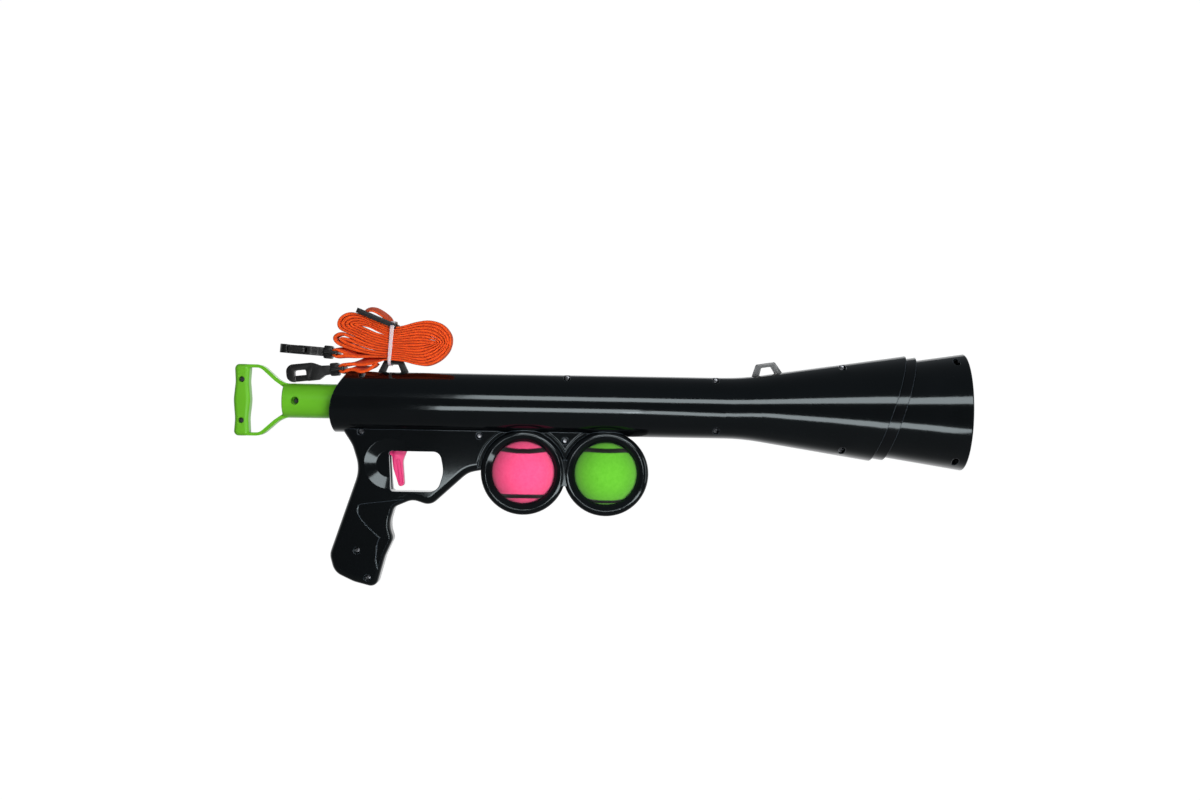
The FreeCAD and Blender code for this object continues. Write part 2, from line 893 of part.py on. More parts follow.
def draw_tube():
    """The tube from the handle's neck to the plunger head, slotted for the anchor pin and with a
    window where the sear's nose catches it."""
    body = new_body("draw_tube")
    back, front = REAR - S.tube_out, -S.tube_front
    profile = outline(body, box_corners(back, front, TUBE_BORE, S.tube_radius))
    turn(body, profile)
    half = S.anchor_pin + S.slot_play
    slot = [(ANCHOR_X - half, -half, half - 0.05), (ANCHOR_X + S.stroke + half, -half, half - 0.05),
            (ANCHOR_X + S.stroke + half, half, half - 0.05), (ANCHOR_X - half, half, half - 0.05)]
    pocket(body, outline(body, slot), S.tube_radius * 3, both=True)
    start = NOSE_X + S.stroke - S.catch_play
    window = box_corners(start, start + S.nose_width + S.catch_play * 2,
                         -S.sear_half - S.catch_play, S.sear_half + S.catch_play)
    pocket(body, outline(body, window, "XY_Plane"), S.tube_radius + 2)
    hole = circle(body, REAR - S.tube_screw, 0, S.tube_hole)
    pocket(body, hole, S.tube_radius + 2, reverse=True)


def plunger():
    """The head that closes the tube's front and the rubber pad that strikes the ball."""
    front = -S.tube_front
    body = new_body("plunger_head")
    profile = outline(body, [
        (front - S.plug_length, 0),
        (front - S.plug_length, TUBE_BORE - S.plug_fit),
        (front, TUBE_BORE - S.plug_fit),
        (front, S.tube_radius),
        (front + S.head_flange, S.tube_radius),
        (front + S.head_flange, 0),
    ])
    turn(body, profile)
    face = front + S.head_flange
    pad_body = new_body("plunger_pad")
    profile = outline(pad_body, [
        (face, 0),
        (face, S.pad_radius),
        (face + S.pad_length, S.pad_radius, 1.5),
        (face + S.pad_length, S.pad_radius - 3),
        (face + S.pad_length - S.pad_dish, 0),
    ])
    turn(pad_body, profile)


def spring_anchor():
    """The fixed plug inside the tube that the launch spring pushes against, and its cross pin."""
    body = new_body("spring_anchor")
    front = ANCHOR_X + S.anchor_length / 2
    profile = outline(body, [
        (front - S.anchor_length, 0),
        (front - S.anchor_length, TUBE_BORE - S.bush_play),
        (front, TUBE_BORE - S.bush_play),
        (front, S.spigot_radius),
        (front + S.spigot_length, S.spigot_radius, 1.5),
        (front + S.spigot_length, 0),
    ])
    turn(body, profile)
    pocket(body, circle(body, ANCHOR_X, 0, S.anchor_pin + S.hinge_play), S.tube_radius * 3, both=True)
    reach = S.barrel_radius - 1
    rod_y("anchor_pin", ANCHOR_X, 0, S.anchor_pin, -reach, reach)


def launch_spring():
    body = new_body("launch_spring")
    start = ANCHOR_X + S.anchor_length / 2 + S.spring_wire / 2
    end = -S.tube_front - S.plug_length - S.spring_wire / 2
    wire = circle(body, start, S.spring_radius, S.spring_wire / 2)
    coil(body, wire, "H_Axis", end - start, S.spring_turns)


# ---------------------------------------------------------------- handle

def handle_half(label, flip):
    """Half of the D handle: neck and plug, two arms and the grip bar."""
    body = new_body(label)
    neck = REAR - S.tube_out - S.neck_length
    bar = REAR - S.bar_back
    bar_front = bar + S.bar_width
    top = S.bar_half
    corner = S.bar_round + 0.5
    grip = pad(body, outline(body, [
        (bar, top, corner), (bar_front, top, corner),
        (bar_front - S.bar_waist, top * 0.52, 30), (bar_front + 0.6, 0, 40),
        (bar_front - S.bar_waist, -top * 0.52, 30), (bar_front, -top, corner),
        (bar, -top, corner), (bar + S.bar_waist, -top * 0.52, 30),
        (bar - 0.6, 0, 40), (bar + S.bar_waist, top * 0.52, 30),
    ]), S.bar_depth, flip)
    side = S.bar_depth.number * (1 if flip else -1)
    soften(body, grip, S.bar_round, lambda e: all(near(v.Point.y, side) for v in e.Vertexes))
    turned = outline(body, [
        (neck, 0),
        (neck, S.tube_radius, 1.5),
        (neck + S.neck_length, S.tube_radius),
        (neck + S.neck_length, TUBE_BORE - S.plug_fit),
        (neck + S.neck_length + S.handle_plug, TUBE_BORE - S.plug_fit),
        (neck + S.neck_length + S.handle_plug, 0),
    ])
    turn(body, turned, angle=180, reverse=flip)
    inner = top - S.arm_wall
    frame = new_sketch(body)
    add_outline(frame, [
        (bar + 4, top - 0.2), (bar + S.shoulder + 1.5, top - 0.2, 16),
        (neck - 4, S.tube_radius + 2.8, 25), (neck + 2, S.tube_radius + 0.2),
        (neck + 5, S.tube_radius - 0.3), (neck + 5, 0.3 - S.tube_radius),
        (neck + 2, -S.tube_radius - 0.2), (neck - 4, -S.tube_radius - 2.8, 25),
        (bar + S.shoulder + 1.5, 0.2 - top, 16), (bar + 4, 0.2 - top),
    ])
    add_outline(frame, [
        (bar_front - 4, inner), (bar + S.shoulder - 0.5, inner, 10),
        (neck - 8.5, S.tube_radius + 2.1, 20), (neck + 1, S.tube_radius - 4.5, 3),
        (neck - 0.4, 0, 60),
        (neck + 1, 4.5 - S.tube_radius, 3), (neck - 8.5, -S.tube_radius - 2.1, 20),
        (bar + S.shoulder - 0.5, -inner, 10), (bar_front - 4, -inner),
    ])
    pad(body, frame, S.arm_depth, flip)
    return body


def handle():
    places = {
        "top": (REAR - S.bar_back + S.bar_width / 2, S.handle_screw_z, S.screw_seat - 2),
        "low": (REAR - S.bar_back + S.bar_width / 2, -S.handle_screw_z, S.screw_seat - 2),
    }
    holes, recesses = screw_tools("handle", places, S.screw_radius + S.screw_play, S.recess - 0.4)
    neck_hole, neck_recess = screw_tools(
        "neck", {"middle": (REAR - S.tube_screw, length(0), S.screw_seat)},
        S.screw_radius + S.screw_play, S.tube_hole)
    for label, flip, extra in (("handle_half_right", NEAR_SIDE, recesses + neck_recess),
                               ("handle_half_left", FAR_SIDE, [])):
        half = handle_half(label + "_outside", flip)
        cut(label, half, group(label + "_openings", holes + neck_hole + extra))
    screws("handle_screws", places)
    screw("tube_screw", REAR - S.tube_screw, length(0), S.screw_seat)


# ---------------------------------------------------------------- trigger and sear

def trigger():
    body = new_body("trigger")
    x, z = TRIGGER
    pad(body, outline(body, [
        (x - 9.0, z - 10.0),
        (x - 4.2, z - 14.5, 2),
        (x - 2.8, z - 26.0, 20),
        (x + 3.0, z - 43.5, 2.5),
        (x + 8.0, z - 42.5, 3),
        (x + 7.4, z - 34.0, 12),
        (x + 6.0, z - 19.0, 12),
        (x + 9.6, z - 9.5, 3),
        (x + 10.2, z + 3.0, 1),
        (x + 21.5, z + 3.0, 1.2),
        (x + 21.5, z + 9.5, 1.2),
        (x + 8.0, z + 7.0, 4),
        (x - 5.0, z + 6.0, 4),
        (x - 9.5, z - 4.0, 3),
    ]), S.trigger_half * 2, both=True)
    for side in (1, -1):
        ridges = new_sketch(body, normal=S.trigger_half * side)
        for left in (x - 0.9, x + 2.2):
            add_outline(ridges, [(left, z - 17), (left + 1.2, z - 17),
                                 (left + 4.5, z - 40), (left + 3.3, z - 40)])
        pocket(body, ridges, S.ridge_depth, reverse=side < 0)
    pocket(body, circle(body, x, z, S.hinge_pin + S.hinge_play), S.trigger_half * 3, both=True)
    rod_y("trigger_pin", x, z, S.hinge_pin, -S.pin_half, S.pin_half)


def sear():
    """The latch lever: its nose lies under the draw tube, its tail under the trigger's arm."""
    body = new_body("sear")
    x, z = SEAR
    nose_top = -S.tube_radius - S.nose_gap
    tail = TRIGGER[1] + 3.0 - 0.4
    pad(body, outline(body, [
        (x + 5, z - 8.3, 3),
        (x + 5, z + 4.5, 3),
        (NOSE_X + S.nose_width + 2, z + 6.5, 2),
        (NOSE_X + S.nose_width, nose_top),
        (NOSE_X, nose_top, 1),
        (NOSE_X, tail, 1),
        (NOSE_X - 10, tail, 1),
        (NOSE_X - 10, z - 8.3, 1),
    ]), S.sear_half * 2, both=True)
    pocket(body, circle(body, x, z, S.hinge_pin + S.hinge_play), S.sear_half * 3, both=True)
    rod_y("sear_pin", x, z, S.hinge_pin, -S.pin_half, S.pin_half)
    spring = new_body("sear_spring")
    low = MECH_FLOOR + S.return_wire / 2 + 0.1
    high = z - 8.3 - S.return_wire / 2 - 0.1
    wire = new_sketch(spring, origin=(x - 12, 0))
    add_circle(wire, S.return_coil, low, S.return_wire / 2)
    coil(spring, wire, "V_Axis", high - low, S.return_turns)


# ---------------------------------------------------------------- strap loops

def strap_loop(label, x, z, lean, grown):
    """A trapezoid ring whose lower bar lies inside the casing wall. Grown, it is its own seat."""
    play = S.loop_play if grown else length(0)
    body = new_body(label)
    low = -S.wall - S.loop_bar - 0.3
    high = S.loop_height
    base, top = S.loop_base / 2, S.loop_top / 2
    sketch = new_sketch(body)
    add_outline(sketch, [(-base - play, low - play), (base + play, low - play),
                         (top + play, high + play, 2), (-top - play, high + play, 2)])
    bar = S.loop_bar + play
    wide, narrow = base - bar * 2.4, top - bar * 1.125
    add_outline(sketch, [(-wide, low + bar), (wide, low + bar),
                         (narrow, high - bar, 0.8), (-narrow, high - bar, 0.8)])
    pad(body, sketch, S.loop_depth + play * 2, both=True)
    if lean:
        body.Placement.Rotation = FreeCAD.Rotation(
            V(0, 1, 0), -math.degrees(math.atan(S.cone_slope.number)))
    bind(body, ".Placement.Base.x", x)
    bind(body, ".Placement.Base.z", z)
    return body


def front_loop(label, grown):
    x = -S.front_loop
    return strap_loop(label, x, cone_at(x), True, grown)


# ---------------------------------------------------------------- spare balls

def spare_ball(name, x):
    core_radius = S.ball_radius - S.felt
    cut(name + "_felt", ball(name + "_felt_outside", x, RING_Z, S.ball_radius),
        ball(name + "_felt_inside", x, RING_Z, core_radius + 0.05))
    cut(name + "_core", ball(name + "_core_outside", x, RING_Z, core_radius),
        ball(name + "_core_inside", x, RING_Z, core_radius - S.rubber))


# ---------------------------------------------------------------- strap, slider and tie

def strap_hank():
    """The folded strap, all its layers together, waisted where the tie holds it."""
    body = new_body("strap_hank")
    z = S.barrel_radius
    rest = z + S.loop_height + S.soft_gap
    shape = outline(body, [
        (REAR + 20, z + 54.9),
        (REAR + 58.5, z + 39.2, 6),
        (REAR + 88, z + 51.2, 18),
        (REAR + 111.5, z + 27.7, 20),
        (REAR + 88, z + 3.2, 20),
        (REAR + 65, rest, 8),
        (REAR + 42, rest, 8),
        (REAR + 15, rest + 2.2, 6),
        (REAR - 6, z + 28.7, 7),
        (REAR - 0.5, z + 40.7, 5),
        (REAR, z + 57.2, 10),
    ])
    pad(body, shape, S.strap_width, both=True)


def strap_slider():
    """The length adjuster: a plate with two slots that lies on the hank."""
    body = new_body("strap_slider")
    side = S.slider_width / 2
    sketch = new_sketch(body, "XY_Plane")
    add_outline(sketch, [(0, -side, 2), (S.slider_length, -side, 2),
                         (S.slider_length, side, 2), (0, side, 2)])
    half = S.strap_width / 2 + S.soft_gap
    for start in (length(6), S.slider_length - 6 - S.slider_slot):
        add_outline(sketch, [(start, -half, 1), (start + S.slider_slot, -half, 1),
                             (start + S.slider_slot, half, 1), (start, half, 1)])
    pad(body, sketch, S.slider_thick)
    lean(body, S.slider_lean)
    bind(body, ".Placement.Base.x", REAR + 18.6)
    bind(body, ".Placement.Base.z", S.barrel_radius + 56.1)


def lean(body, degrees, about_x=0):
    """Turns the body about its own X axis and then about Y, its +X end going down."""
    body.Placement.Rotation = FreeCAD.Rotation(V(0, 1, 0), degrees.number).multiply(
        FreeCAD.Rotation(V(1, 0, 0), about_x))


def hank_tie():
    """The band round the hank that passes under the rear loop's top bar."""
    body = new_body("hank_tie")
    low = S.barrel_radius + S.loop_height - S.loop_bar - S.soft_gap
    high = S.barrel_radius + S.tie_height
    side, thick = S.tie_side, S.tie_thick
    sketch = new_sketch(body, "YZ_Plane", REAR + 51)
    add_outline(sketch, [(-side - thick, low - thick, 2), (side + thick, low - thick, 2),
                         (side + thick, high + thick, 2), (-side - thick, high + thick, 2)])
    add_outline(sketch, [(-side, low, 1), (side, low, 1), (side, high, 1), (-side, high, 1)])
    pad(body, sketch, S.tie_width)


# ---------------------------------------------------------------- snap hooks

UPPER_HOOK = (REAR - 12, S.barrel_radius + 18.0)
LOWER_HOOK = (REAR - 5.5, S.barrel_radius * 0.3 + S.tube_radius * 0.9 + 6.55)


def place_hook(body, at, degrees, about_x):
    lean(body, degrees, about_x)
    bind(body, ".Placement.Base.x", at[0])
    bind(body, ".Placement.Base.z", at[1])


def hook_base(label):
    """The swivel's block with a plate for the strap, and the post that the hook turns on."""
    body = new_body(label)
    side = S.base_width / 2
    slot = S.base_length - S.base_bar
    half = S.strap_width / 2 + S.soft_gap
    plate = new_sketch(body, "XY_Plane")
    add_outline(plate, [(0, -side, 2), (S.base_length, -side, 2), (S.base_length, side, 2), (0, side, 2)])
    add_outline(plate, box_corners(slot - S.base_slot, slot, -half, half))
    pad(body, plate, S.base_bar, both=True)
    block = outline(body, [(0, -S.block_half, 1.5), (S.block_length, -S.block_half, 1.5),
                           (S.block_length, S.block_half, 1.5), (0, S.block_half, 1.5)])
    pad(body, block, S.block_half * 2, both=True)
    post = circle(body, 0, 0, S.post_radius, "YZ_Plane", 1.5)
    pad(body, post, S.post_length + 1.5, reverse=True)
    return body


def hook_body(label):
    """The hook: a shank bored for the post, and an open eye that the gate closes."""
    body = new_body(label)
    half, gap = S.hook_half, -S.soft_gap
    nose = S.hook_length - S.eye_back - 0.7
    pad(body, outline(body, [
        (gap, S.shank_half - 0.4, 1.2),
        (-9, S.shank_half, 8),
        (-17, half, 8),
        (-S.hook_length, half, nose),
        (-S.hook_length, -half, nose),
        (-S.eye_back, -half, 0.6),
        (-S.eye_back, S.eye_top, 2),
        (-S.eye_front, S.eye_top, 2),
        (-S.eye_front, -half, 0.6),
        (-12, -half, 4),
        (-6, -S.shank_half, 4),
        (gap, 0.4 - S.shank_half, 1.2),
    ]), S.hook_depth * 2, both=True)
    pivot_z = -half + S.gate_half + 0.2
    room = box_corners(-S.eye_front - 1, -S.gate_pivot + S.gate_half + 1.3,
                       -half - 1, pivot_z + S.gate_half + 0.8)
    pocket(body, outline(body, room), (S.gate_depth + 0.2) * 2, both=True)
    pin_hole = circle(body, -S.gate_pivot, pivot_z, S.gate_pin + S.hinge_play)
    pocket(body, pin_hole, S.hook_depth * 3, both=True)
    bore = circle(body, 0, 0, S.post_radius + S.post_play, "YZ_Plane")
    pocket(body, bore, S.post_length + S.soft_gap * 2)
    return body


def hook_gate(label):
    """The sprung leaf across the hook's mouth, with its pin."""
    body = new_body(label)
    middle = -S.hook_half + S.gate_half + 0.2
    low, high = middle - S.gate_half, middle + S.gate_half
    front = -S.gate_pivot + S.gate_half
    round_end = S.gate_half - 0.05
    pad(body, outline(body, [
        (-S.gate_tip, low, 0.8), (-S.gate_tip, high, 0.8),
        (front, high, round_end), (front, low, round_end),
    ]), S.gate_depth * 2, both=True)
    pad(body, circle(body, -S.gate_pivot, middle, S.gate_pin), S.hook_depth * 2 - 0.2, both=True)
    return body


def snap_hook(name, at, degrees, about_x):
    """A swivel hook. Only its body and gate are turned about the hook's length."""
    place_hook(hook_base(name + "_hook_base"), at, degrees, 0)
    place_hook(hook_body(name + "_hook"), at, degrees, about_x)
    place_hook(hook_gate(name + "_hook_gate"), at, degrees, about_x)


def strap_end(label, at, degrees, tongue):
    """A strap end sewn round the hook's base bar, and its run to the hank."""
    body = new_body(label)
    reach = S.base_length - S.base_bar / 2
    x = at[0] + reach
    z = at[1] - reach * math.tan(math.radians(degrees.number))
    around = S.base_bar * 0.71 + S.soft_gap
    pad(body, circle(body, x, z, around + S.strap_thick), S.strap_width, both=True)
    pad(body, outline(body, tongue(x, z)), S.strap_width, both=True)
    pocket(body, circle(body, x, z, around), S.strap_width * 2, both=True)


def upper_tongue(x, z):
    """Two layers of strap that stop at the hank's slanting back."""
    return [(x + 3.5, z + 1.8), (x + 3.5, z - 1.8), (REAR + 10.8, z - 1.8), (REAR + 6.2, z + 1.8)]


def lower_tongue(x, z):
    """Two layers of strap that spread out under the hank."""
    under = S.barrel_radius + S.loop_height
    return [
        (x + 3.5, z + 2.5),
        (x + 3.5, S.barrel_radius + 0.7),
        (REAR + 21, S.barrel_radius + 0.9),
        (REAR + 37, under - 1.2),
        (REAR + 37, under + 0.2),
        (REAR + 17, under + 1.8),
    ]


def hooks():
    upper, lower = S.upper_lean, -S.lower_lean
    snap_hook("upper", UPPER_HOOK, upper, -90)
    snap_hook("lower", LOWER_HOOK, lower, 0)
    strap_end("strap_end_upper", UPPER_HOOK, upper, upper_tongue)
    strap_end("strap_end_lower", LOWER_HOOK, lower, lower_tongue)


# ---------------------------------------------------------------- write the parts

NODES = [
    "right_shell", "left_shell", "shell_screws",
    "muzzle_band", "muzzle_collar_right", "muzzle_collar_left", "collar_screws", "ball_grabber",
    "rear_bush", "front_bush", "draw_tube", "plunger_head", "plunger_pad",
    "spring_anchor", "anchor_pin", "launch_spring",
    "handle_half_right", "handle_half_left", "handle_screws", "tube_screw",
    "trigger", "trigger_pin", "sear", "sear_pin", "sear_spring",
    "front_strap_loop", "rear_strap_loop",
    "pink_ball_felt", "pink_ball_core", "green_ball_felt", "green_ball_core",
    "strap_hank", "strap_slider", "hank_tie", "strap_end_upper", "strap_end_lower",
    "upper_hook", "upper_hook_base", "upper_hook_gate",
    "lower_hook", "lower_hook_base", "lower_hook_gate",
]


def check_and_write():
    doc.recompute()
    for thing in doc.Objects:
        if "Invalid" in thing.State or "Error" in thing.State:
            raise RuntimeError("%s is %s" % (thing.Label, thing.State))
    os.makedirs("parts", exist_ok=True)
    for label in NODES:
        shape = doc.getObjectsByLabel(label)[0].Shape
        if shape.isNull() or not shape.isValid():
            raise RuntimeError("%s has no valid shape" % label)
        shape.exportStep("parts/%s.step" % label)
        print("%-22s %2d solids %10.0f mm3" % (label, len(shape.Solids), shape.Volume))


casing()
screws("shell_screws", SCREWS)
muzzle_band()
muzzle_collar()
screws("collar_screws", COLLAR_SCREWS)
ball_grabber()
bush("rear_bush", REAR + S.rear_bush, REAR + S.rear_wall + S.bush_play)
bush("front_bush", -S.front_bush, -S.front_bush - S.bush_length / 2)
draw_tube()
plunger()
spring_anchor()
launch_spring()
handle()
trigger()
sear()
front_loop("front_strap_loop", False)
strap_loop("rear_strap_loop", REAR + S.rear_loop, S.barrel_radius, False, False)
spare_ball("pink_ball", RING_X[0])
spare_ball("green_ball", RING_X[1])
strap_hank()
strap_slider()
hank_tie()
hooks()
check_and_write()
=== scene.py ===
import bpy
import bmesh
import math
import numpy as np
from mathutils import Matrix


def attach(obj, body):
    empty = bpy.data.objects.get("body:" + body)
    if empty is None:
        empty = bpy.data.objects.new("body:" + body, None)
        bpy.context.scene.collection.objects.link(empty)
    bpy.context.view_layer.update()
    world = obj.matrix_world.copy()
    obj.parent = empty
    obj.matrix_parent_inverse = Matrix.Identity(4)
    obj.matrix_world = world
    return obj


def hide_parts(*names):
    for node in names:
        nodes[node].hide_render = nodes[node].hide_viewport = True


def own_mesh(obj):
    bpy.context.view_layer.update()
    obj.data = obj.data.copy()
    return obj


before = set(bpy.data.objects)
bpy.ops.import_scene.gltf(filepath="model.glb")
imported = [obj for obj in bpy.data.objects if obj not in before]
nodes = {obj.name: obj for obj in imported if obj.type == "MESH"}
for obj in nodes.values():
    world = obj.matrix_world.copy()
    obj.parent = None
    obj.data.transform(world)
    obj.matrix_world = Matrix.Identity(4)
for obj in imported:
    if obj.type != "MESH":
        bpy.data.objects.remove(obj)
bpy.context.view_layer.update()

MM = 0.001
WHITE = (1, 1, 1, 1)

# The launcher's fixed places in millimetres: X along the barrel to the muzzle, Z up, the mouth at 0.
RINGS = {"pink": -418.8, "green": -340.3}
RING_Z = -64.3
BALL_RADIUS = 32.2

# The camera's place in metres, its roll in degrees and its focal length in millimetres.
CAMERA = (-0.3470, -1.57, 0.0057)
CAMERA_ROLL = 1.0
FOCAL_LENGTH = 49.06

# Where the middle of the round floor lies, how low it is, how far it reaches and how high its wall
# rises, in metres.
FLOOR_X = -0.35
FLOOR_Z = -0.75
FLOOR_REACH = 5.0
WALL_RISE = 2.6


# ---------------------------------------------------------------- camera, light and stage

def make_camera():
    """Level with the barrel and rolled one degree, so that the barrel falls a little to the right."""
    camera = bpy.data.cameras.new("camera")
    camera.lens = FOCAL_LENGTH
    camera.sensor_width = 36
    camera.clip_end = 50
    holder = bpy.data.objects.new("camera", camera)
    bpy.context.scene.collection.objects.link(holder)
    roll = math.radians(CAMERA_ROLL)
    c, s = math.cos(roll), math.sin(roll)
    x, y, z = CAMERA
    holder.matrix_world = Matrix((
        (c, -s, 0, x),
        (0, 0, -1, y),
        (s, c, 0, z),
        (0, 0, 0, 1),
    ))
    bpy.context.scene.camera = holder
    bpy.context.scene.view_settings.view_transform = "Standard"


def soft_box(name, centre, target, size, power, tilt=0.0):
    """A rectangular lamp at centre that faces target, its long side turned by tilt degrees."""
    lamp = bpy.data.lights.new(name, "AREA")
    lamp.shape = "RECTANGLE"
    lamp.size, lamp.size_y = size
    lamp.energy = power
    holder = bpy.data.objects.new(name, lamp)
    bpy.context.scene.collection.objects.link(holder)
    centre, target = np.array(centre), np.array(target)
    back = centre - target
    back /= np.linalg.norm(back)
    side = np.cross((0, 0, 1.0), back)
    side /= np.linalg.norm(side)
    up = np.cross(back, side)
    t = math.radians(tilt)
    across = side * math.cos(t) + up * math.sin(t)
    above = up * math.cos(t) - side * math.sin(t)
    matrix = np.eye(4)
    matrix[:3, 0], matrix[:3, 1], matrix[:3, 2], matrix[:3, 3] = across, above, back, centre
    holder.matrix_world = Matrix(matrix.tolist())


def make_light():
    """A level strip in front and above the barrel, two strips in front and below it of which the
    right one slants down, a box on the muzzle's side, a wide one behind and a dim blue-grey room."""
    soft_box("strip_high", (-0.1225, -1.35, 0.585), (-0.17, 0, 0), (0.955, 0.36), 11.4, -4)
    soft_box("strip_low_rear", (-0.4225, -0.40, -0.133), (-0.435, 0, 0), (0.245, 0.095), 0.82)
    soft_box("strip_low_front", (-0.165, -0.40, -0.212), (-0.165, 0, 0), (0.31, 0.08), 0.85, -27)
    soft_box("side", (1.2, -0.8, 0.05), (-0.1, 0, 0), (0.5, 1.0), 6.0)
    soft_box("behind", (-0.3, 1.7, 0.7), (-0.3, 0, 0), (1.8, 0.9), 5.0)
    world = bpy.data.worlds.new("studio")
    bpy.context.scene.world = world
    world.use_nodes = True
    fill = world.node_tree.nodes["Background"]
    fill.inputs["Color"].default_value = (0.86, 0.93, 1.0, 1)
    fill.inputs["Strength"].default_value = 0.22


def make_floor():
    """A round sheet that rises into a wall, z = floor + rise * (r / reach) ** 6. It is grey below
    and in front of the launcher, and towards the back it turns into a white wall."""
    u, v = grid(60, 96)
    r = u * FLOOR_REACH
    x = FLOOR_X + r * np.cos(v * 2 * math.pi)
    y = r * np.sin(v * 2 * math.pi)
    z = FLOOR_Z + WALL_RISE * (r / FLOOR_REACH) ** 6
    floor = surface("floor", np.stack([x, y, z], -1), closed_v=True)
    floor.data.materials.append(pale_paper("pale_floor"))


def pale_paper(name):
    """Grey paper that only the camera, glossy and transmission rays see glow, more towards the back."""
    material = bpy.data.materials.new(name)
    material.use_nodes = True
    tree = material.node_tree
    tree.nodes.clear()
    place = add(tree, "ShaderNodeTexCoord").outputs["Object"]
    depth = add(tree, "ShaderNodeSeparateXYZ", Vector=place).outputs["Y"]
    ramp = add(tree, "ShaderNodeMapRange", settings=[("interpolation_type", "SMOOTHSTEP")],
               Value=depth, From_Min=0.15, From_Max=1.1, To_Min=0.1, To_Max=0.96).outputs[0]
    unseen = add(tree, "ShaderNodeBsdfDiffuse", Color=(0.6, 0.6, 0.6, 1)).outputs[0]
    matt = add(tree, "ShaderNodeBsdfDiffuse", Color=(0.25, 0.25, 0.25, 1)).outputs[0]
    glow = add(tree, "ShaderNodeEmission", Color=WHITE, Strength=ramp).outputs[0]
    lit = add(tree, "ShaderNodeAddShader", (matt, glow)).outputs[0]
    rays = add(tree, "ShaderNodeLightPath").outputs
    clamped_sum = [("operation", "ADD"), ("use_clamp", True)]
    first = add(tree, "ShaderNodeMath", (rays["Is Camera Ray"], rays["Is Glossy Ray"]),
                clamped_sum).outputs[0]
    looks = add(tree, "ShaderNodeMath", (first, rays["Is Transmission Ray"]), clamped_sum).outputs[0]
    seen = add(tree, "ShaderNodeMixShader", (looks, unseen, lit)).outputs[0]
    add(tree, "ShaderNodeOutputMaterial", Surface=seen)
    return material


# ---------------------------------------------------------------- meshes

def grid(rows, columns):
    """Two arrays of rows x columns that run from 0 to 1 down and across."""
    return np.meshgrid(np.linspace(0, 1, rows), np.linspace(0, 1, columns, endpoint=False),
                       indexing="ij")


def surface(name, points, closed_u=False, closed_v=False, caps=False):
    """A mesh of the grid of points (rows, columns, 3), with quads between neighbours. A closed
    direction wraps round, and caps closes the first and last rows."""
    rows, columns = points.shape[:2]
    index = np.arange(rows * columns).reshape(rows, columns)
    down = np.roll(index, -1, 0) if closed_u else index[1:]
    here = index if closed_u else index[:-1]
    if closed_v:
        a, b = here, np.roll(here, -1, 1)
        c, d = np.roll(down, -1, 1), down
    else:
        a, b, c, d = here[:, :-1], here[:, 1:], down[:, 1:], down[:, :-1]
    faces = np.stack([a, b, c, d], -1).reshape(-1, 4).tolist()
    if caps:
        faces.append(index[0].tolist())
        faces.append(index[-1, ::-1].tolist())
    mesh = bpy.data.meshes.new(name)
    mesh.from_pydata(points.reshape(-1, 3).tolist(), [], faces)
    mesh.update()
    mesh.shade_smooth()
    outward(mesh)
    thing = bpy.data.objects.new(name, mesh)
    bpy.context.scene.collection.objects.link(thing)
    return thing


def outward(mesh):
    """Merges points that meet and turns every face outwards."""
    work = bmesh.new()
    work.from_mesh(mesh)
    bmesh.ops.remove_doubles(work, verts=work.verts, dist=1e-6)
    bmesh.ops.recalc_face_normals(work, faces=work.faces)
    work.to_mesh(mesh)
    work.free()


def smooth_path(points, step):
    """A Catmull-Rom curve through the points, read off at equal steps of its length."""
    p = np.array(points, float)
    p = np.vstack([2 * p[0] - p[1], p, 2 * p[-1] - p[-2]])
    t = np.linspace(0, 1, 24, endpoint=False)[:, None]
    spans = []
    for a, b, c, d in zip(p[:-3], p[1:-2], p[2:-1], p[3:]):
        spans.append(0.5 * (2 * b + (c - a) * t + (2 * a - 5 * b + 4 * c - d) * t ** 2
                            + (3 * b - a - 3 * c + d) * t ** 3))
    return even(np.vstack(spans + [p[-2]]), step)


def even(line, step):
    """The line's points at equal steps of its length."""
    reach = np.concatenate([[0], np.cumsum(np.linalg.norm(np.diff(line, axis=0), axis=1))])
    count = max(int(round(reach[-1] / step)), 2)
    at = np.linspace(0, reach[-1], count + 1)
    return np.stack([np.interp(at, reach, line[:, i]) for i in range(line.shape[1])], -1)


def copy_node(name, node, body, flatten=False):
    """The node's own shape as a new piece on body, with its points merged. With flatten, faces that
    lie in one plane become one."""
    mesh = nodes[node].data.copy()
    mesh.name = name
    work = bmesh.new()
    work.from_mesh(mesh)
    bmesh.ops.remove_doubles(work, verts=work.verts, dist=2e-6)
    if flatten:
        bmesh.ops.dissolve_limit(work, angle_limit=math.radians(1.5), verts=work.verts,
                                 edges=work.edges, delimit={"NORMAL"})
    work.to_mesh(mesh)
    work.free()
    mesh.shade_smooth()
    thing = bpy.data.objects.new(name, mesh)
    bpy.context.scene.collection.objects.link(thing)
    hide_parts(node)
    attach(thing, body)
    return thing


def copy_softened(name, node, body, width):
    """The node's own shape with its edges rounded by width millimetres."""
    thing = copy_node(name, node, body, flatten=True)
    bevel = thing.modifiers.new("edges", "BEVEL")
    bevel.width = width * MM
    bevel.segments = 3
    bevel.limit_method = "ANGLE"
    bevel.angle_limit = math.radians(32)
    bevel.harden_normals = True
    return thing


def copy_coil(name, node):
    """The node's own coil as a new piece on the casing, with a mesh of its own."""
    thing = copy_node(name, node, "casing")
    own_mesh(thing)
    return thing


def dress(thing, material):
    """Gives the piece one material."""
    thing.data.materials.clear()
    thing.data.materials.append(material)


# ---------------------------------------------------------------- materials

